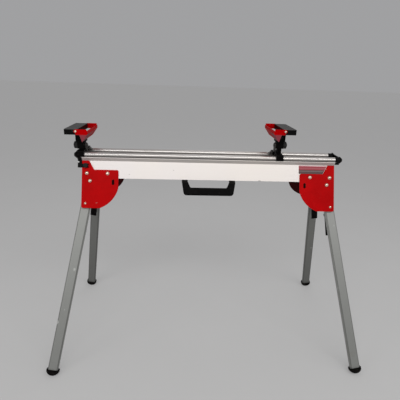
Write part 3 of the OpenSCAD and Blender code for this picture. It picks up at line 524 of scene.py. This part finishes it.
def soften(node, edge, material, segments=2, angle=35):
    """A copy of a CAD node with its seams welded and its sharp edges rounded."""
    piece = bpy.data.objects.new(node + "_soft", frame["nodes"][node].data.copy())
    bpy.context.scene.collection.objects.link(piece)
    take(piece)
    bpy.ops.object.mode_set(mode="EDIT")
    bpy.ops.mesh.select_all(action="SELECT")
    bpy.ops.mesh.remove_doubles(threshold=0.00002)
    bpy.ops.mesh.dissolve_limited(angle_limit=math.radians(0.6))
    bpy.ops.object.mode_set(mode="OBJECT")
    modify(piece, "BEVEL", width=edge, segments=segments, limit_method="ANGLE",
           angle_limit=math.radians(angle), use_clamp_overlap=True, miter_outer="MITER_ARC")
    take(piece)
    bpy.ops.object.shade_smooth_by_angle(angle=math.radians(60))
    modify(piece, "WEIGHTED_NORMAL", mode="FACE_AREA", weight=100, keep_sharp=True)
    return dress(piece, material, body_of(node), slot_of(node), node)


def paint(node, material):
    mesh = frame["nodes"][node].data
    if not mesh.materials:
        mesh.materials.append(material)
    for i in range(len(mesh.materials)):
        mesh.materials[i] = material


class STAND_OT_beam(bpy.types.Operator):
    """Finishes the beam with its rails, and the arm tubes in them"""
    bl_idname = "stand.beam"
    bl_label = "Beam and arm tubes"

    def execute(self, context):
        paint("beam", beam_skin())
        tube = drawn_steel()
        for side in SIDES:
            paint(f"{side}_arm_tubes", tube)
        return {"FINISHED"}


class STAND_OT_plates(bpy.types.Operator):
    """Rounds and finishes the four leg plates"""
    bl_idname = "stand.plates"
    bl_label = "Leg plates"

    def execute(self, context):
        coat = red_coat("red powder coat")
        for face in FACES:
            for side in SIDES:
                soften(f"{face}_{side}_plate", context.scene.stand_sizes.plate_edge, coat)
        return {"FINISHED"}


class STAND_OT_band(bpy.types.Operator):
    """Makes the two-tone band on the right of the beam's front side"""
    bl_idname = "stand.band"
    bl_label = "Side band"

    def execute(self, context):
        sizes = context.scene.stand_sizes
        clear_selection()
        bpy.ops.mesh.primitive_plane_add(size=1)
        piece = context.active_object
        piece.name = "side_band"
        for vertex in piece.data.vertices:
            low = vertex.co.y < 0
            outer = sizes.band_cut if low else sizes.band_end
            vertex.co.x = sizes.band_start if vertex.co.x > 0 else outer
            vertex.co.y = sizes.band_low if low else sizes.band_high
            vertex.co.z = -sizes.band_sink
        bpy.ops.object.mode_set(mode="EDIT")
        bpy.ops.mesh.select_all(action="SELECT")
        bpy.ops.mesh.extrude_region_move(TRANSFORM_OT_translate={"value": (0, 0, sizes.band_thickness)})
        bpy.ops.mesh.select_all(action="SELECT")
        bpy.ops.mesh.normals_make_consistent(inside=False)
        bpy.ops.object.mode_set(mode="OBJECT")
        modify(piece, "BEVEL", width=0.0002, segments=1, limit_method="ANGLE", angle_limit=math.radians(40))
        piece.data.transform(slope_frame("right", "front"))
        piece.data.flip_normals()
        dress(piece, band_skin(), "frame", "red_paint")
        return {"FINISHED"}


class STAND_OT_bolts(bpy.types.Operator):
    """Finishes the bolts, screws, lock pins and lever springs"""
    bl_idname = "stand.bolts"
    bl_label = "Bolts and screws"

    def execute(self, context):
        nickel = metal("nickel plate", context.scene.stand_colours.nickel, 0.24, 600, 0.25)
        zinc = metal("zinc plate", (0.60, 0.60, 0.58), 0.34, 400, 0.3)
        for node in ("plate_bolts", "pivot_bolts", "left_stop_screws", "right_stop_screws"):
            paint(node, nickel)
        zinc_nodes = ["handle_screws", "left_strap_screw", "right_strap_screw"]
        zinc_nodes += [f"{face}_{side}_{kind}" for face in FACES for side in SIDES
                       for kind in ("lock_pin", "lever_spring")]
        for node in zinc_nodes:
            paint(node, zinc)
        return {"FINISHED"}


class STAND_OT_legs(bpy.types.Operator):
    """Finishes the four leg tubes, their feet and the brackets on them"""
    bl_idname = "stand.legs"
    bl_label = "Legs"

    def execute(self, context):
        rubber = foot_rubber()
        dark = metal("dark coated steel", (0.035, 0.035, 0.037), 0.45, 300, 0.1, 0.3)
        paint("leg_brackets", dark)
        for face in FACES:
            for side in SIDES:
                paint(f"{face}_{side}_leg", leg_skin(side, face))
                paint(f"{face}_{side}_lever_bracket", dark)
                soften(f"{face}_{side}_foot", 0.0025, rubber, 3)
        return {"FINISHED"}


class STAND_OT_levers(bpy.types.Operator):
    """Rounds and finishes the four lock levers"""
    bl_idname = "stand.levers"
    bl_label = "Lock levers"

    def execute(self, context):
        black = moulding("lever plastic", context.scene.stand_colours.black, 0.42)
        for face in FACES:
            for side in SIDES:
                soften(f"{face}_{side}_lever", context.scene.stand_sizes.moulded_edge, black)
        return {"FINISHED"}


class STAND_OT_handle(bpy.types.Operator):
    """Rounds and finishes the carry handle"""
    bl_idname = "stand.handle"
    bl_label = "Carry handle"

    def execute(self, context):
        black = moulding("handle plastic", context.scene.stand_colours.black, 0.5, 800)
        soften("carry_handle", 0.002, black, 3)
        return {"FINISHED"}


class STAND_OT_ends(bpy.types.Operator):
    """Rounds and finishes the end brackets, their straps and the lock knobs"""
    bl_idname = "stand.ends"
    bl_label = "End brackets"

    def execute(self, context):
        edge = context.scene.stand_sizes.moulded_edge
        black = moulding("bracket casting", (0.0045, 0.0042, 0.0042), 0.40, 600)
        knob = moulding("knob plastic", (0.020, 0.019, 0.019), 0.46, 900)
        for side in SIDES:
            soften(f"{side}_end_bracket", edge, black)
            soften(f"{side}_lock_strap", context.scene.stand_sizes.plate_edge, black)
            soften(f"{side}_lock_knob", 0.0008, knob)
        return {"FINISHED"}


class STAND_OT_supports(bpy.types.Operator):
    """Rounds and finishes the two work supports"""
    bl_idname = "stand.supports"
    bl_label = "Work supports"

    def execute(self, context):
        sizes = context.scene.stand_sizes
        black = moulding("support casting", (0.0024, 0.0021, 0.0021), 0.42, 700)
        knob = moulding("height knob plastic", (0.040, 0.040, 0.040), 0.45, 900)
        grey = moulding("clamp lever plastic", (0.12, 0.115, 0.11), 0.45, 900, 0.05, (0.3, 0.29, 0.28))
        nut = moulding("nut grip", (0.055, 0.053, 0.050), 0.40, 700, 0.08, (0.16, 0.15, 0.14), 0.35)
        for side in SIDES:
            coat = red_coat(f"red stop coat {side}", side)
            soften(f"{side}_saddle", sizes.moulded_edge, black)
            soften(f"{side}_sleeve", sizes.moulded_edge, black)
            rest = f"{side}_rest_plate"
            plastic = moulding(f"rest plastic {side}", (0.0032, 0.0030, 0.0030), 0.36, 900, shine=0.06,
                               sheen_height=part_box(rest)[1][2])
            soften(rest, sizes.moulded_edge, plastic)
            soften(f"{side}_stop", sizes.plate_edge, coat)
            soften(f"{side}_height_knob", 0.0015, knob, 3)
            soften(f"{side}_clamp_lever", sizes.plate_edge, grey)
            soften(f"{side}_clamp_nut", sizes.plate_edge, nut)
        return {"FINISHED"}


class STAND_OT_studio(bpy.types.Operator):
    """Makes the floor, the backdrop, the lamps and the camera"""
    bl_idname = "stand.studio"
    bl_label = "Studio"

    def execute(self, context):
        scene = context.scene
        look = scene.stand_view
        scene.view_settings.view_transform = "Standard"
        clear_selection()
        bpy.ops.mesh.primitive_plane_add(size=FLOOR_WIDTH)
        floor = context.active_object
        floor.name = "studio_floor"
        floor.data.materials.append(self.pale_floor(scene.stand_colours.floor))
        world = bpy.data.worlds.new("studio air")
        scene.world = world
        world.use_nodes = True
        tree = world.node_tree
        background = tree.nodes["Background"]
        shown = tree.nodes.new("ShaderNodeMix")
        shown.data_type = "RGBA"
        shown.inputs[6].default_value = (look.sky, look.sky, look.sky * 1.03, 1)
        shown.inputs[7].default_value = (*scene.stand_colours.air, 1)
        tree.links.new(self.seen(tree), shown.inputs[0])
        tree.links.new(shown.outputs[2], background.inputs["Color"])
        for name, place, target, size in LAMPS:
            self.lamp(name, place, target, size, getattr(look, f"{name}_power"))
        camera = bpy.data.objects.new("photo_camera", bpy.data.cameras.new("photo_camera"))
        scene.collection.objects.link(camera)
        camera.data.lens = look.lens
        camera.data.sensor_width = 36
        camera.matrix_world = (
            Matrix.Translation(look.place) @ Matrix.Rotation(-look.yaw, 4, "Z")
            @ Matrix.Rotation(math.radians(90) - look.pitch, 4, "X") @ Matrix.Rotation(look.roll, 4, "Z"))
        scene.camera = camera
        return {"FINISHED"}

    def lamp(self, name, place, target, size, power):
        lamp = bpy.data.objects.new(name, bpy.data.lights.new(name, "AREA"))
        bpy.context.scene.collection.objects.link(lamp)
        lamp.data.shape = "RECTANGLE"
        lamp.data.size = size[0]
        lamp.data.size_y = size[1]
        lamp.data.energy = power
        lamp.location = place
        lamp.rotation_euler = (Vector(target) - Vector(place)).to_track_quat("-Z", "Y").to_euler()

    def seen(self, tree):
        """1 for what the camera sees, directly or mirrored, and 0 for the light that falls on things."""
        light_path = tree.nodes.new("ShaderNodeLightPath")
        total = light_path.outputs["Is Camera Ray"]
        for ray in ("Is Glossy Ray", "Is Transmission Ray"):
            add = tree.nodes.new("ShaderNodeMath")
            add.operation = "MAXIMUM"
            tree.links.new(total, add.inputs[0])
            tree.links.new(light_path.outputs[ray], add.inputs[1])
            total = add.outputs[0]
        return total

    def pale_floor(self, colour):
        f = Finish("studio floor", colour, Roughness=0.85, Specular_IOR_Level=0.2)
        cloud = f.noise(3, 4)
        f.feed("Base Color", f.mix(cloud, shade(colour, 0.97), shade(colour, 1.03)))
        f.feed("Normal", f.bump(f.noise(160, 3), 0.0005, 0.15))
        tree = f.tree
        glow = tree.nodes.new("ShaderNodeEmission")
        glow.inputs["Color"].default_value = (*bpy.context.scene.stand_colours.glow, 1)
        share = Wire(f, self.seen(tree)) * bpy.context.scene.stand_view.floor_glow
        blend = tree.nodes.new("ShaderNodeMixShader")
        tree.links.new(share.output, blend.inputs[0])
        tree.links.new(f.shader.outputs[0], blend.inputs[1])
        tree.links.new(glow.outputs[0], blend.inputs[2])
        tree.links.new(blend.outputs[0], tree.nodes["Material Output"].inputs["Surface"])
        return f.material


class STAND_PT_panel(bpy.types.Panel):
    """Lists the stand's sizes, colours and making steps"""
    bl_idname = "STAND_PT_panel"
    bl_label = "Saw stand"
    bl_space_type = "VIEW_3D"
    bl_region_type = "UI"
    bl_category = "Saw stand"

    def draw(self, context):
        scene = context.scene
        for group in (scene.stand_sizes, scene.stand_colours, scene.stand_view):
            for key in group.__annotations__:
                self.layout.prop(group, key)
        for step in STEPS:
            self.layout.operator(step.bl_idname)


STEPS = (STAND_OT_studio, STAND_OT_beam, STAND_OT_plates, STAND_OT_band, STAND_OT_bolts, STAND_OT_legs,
         STAND_OT_levers, STAND_OT_handle, STAND_OT_ends, STAND_OT_supports)
CLASSES = (StandSizes, StandColours, StandView, *STEPS, STAND_PT_panel)


def register():
    for item in CLASSES:
        bpy.utils.register_class(item)
    bpy.types.Scene.stand_sizes = PointerProperty(type=StandSizes)
    bpy.types.Scene.stand_colours = PointerProperty(type=StandColours)
    bpy.types.Scene.stand_view = PointerProperty(type=StandView)


def unregister():
    del bpy.types.Scene.stand_sizes
    del bpy.types.Scene.stand_colours
    del bpy.types.Scene.stand_view
    for item in reversed(CLASSES):
        bpy.utils.unregister_class(item)


def main():
    register()
    for step in STEPS:
        name = step.bl_idname.split(".")[1]
        if getattr(bpy.ops.stand, name)() != {"FINISHED"}:
            raise RuntimeError(f"{step.bl_label} was not finished")


if __name__ == "__main__":
    main()
